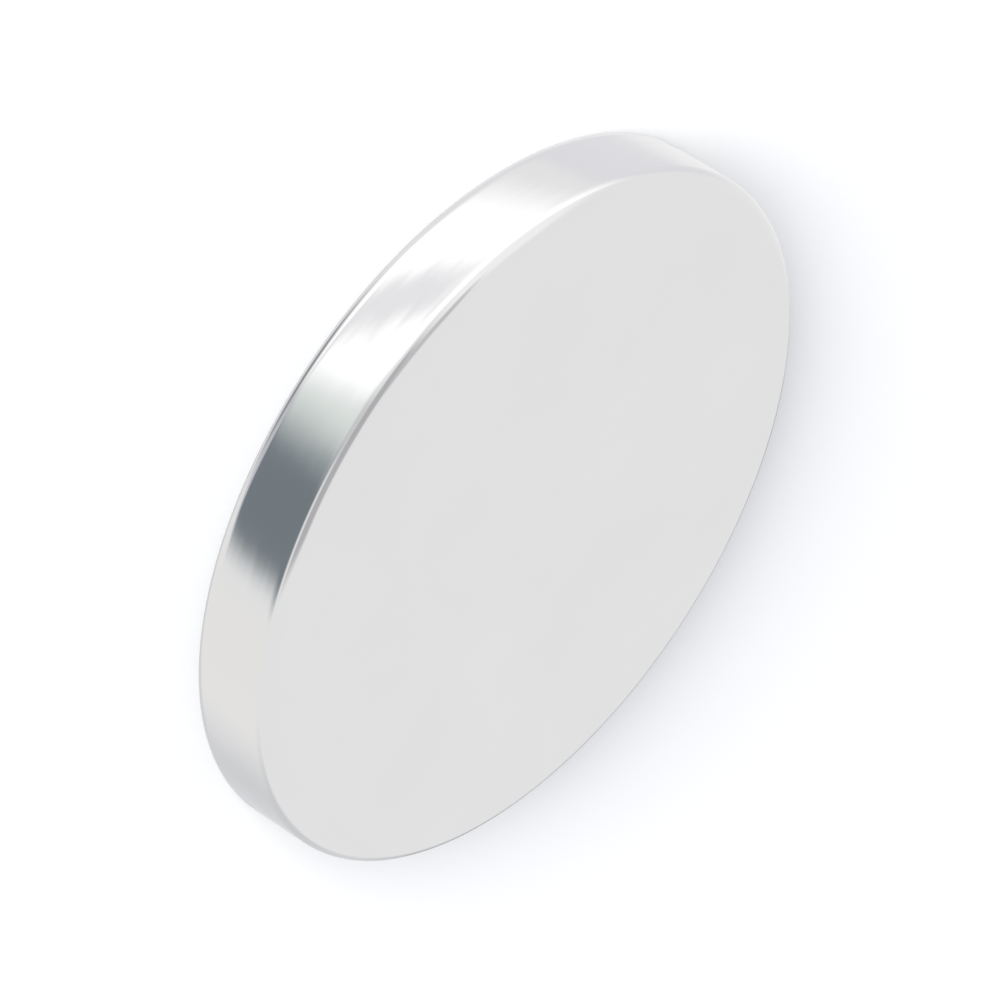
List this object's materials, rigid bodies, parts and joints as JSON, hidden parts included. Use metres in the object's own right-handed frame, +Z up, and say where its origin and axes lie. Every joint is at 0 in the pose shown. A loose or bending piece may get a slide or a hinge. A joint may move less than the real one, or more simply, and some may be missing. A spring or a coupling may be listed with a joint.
{
  "type": "disc magnet",
  "caption": "Flat round disc magnet with a bright nickel plating, plain pole faces and rounded rim edges.",
  "frame": {"origin": "centre of the lower pole face", "axes": "+Z up along the disc's axis, from the lower pole face to the upper one; X and Y lie in the lower pole face and are free, because the disc is round"},
  "size_m": [0.012, 0.012, 0.0015],
  "materials": {
    "nickel_plating": "bright electroplated nickel, smooth with a soft orange peel"
  },
  "bodies": {
    "root": {"magnet_disc": "nickel_plating"}
  },
  "joints": []
}
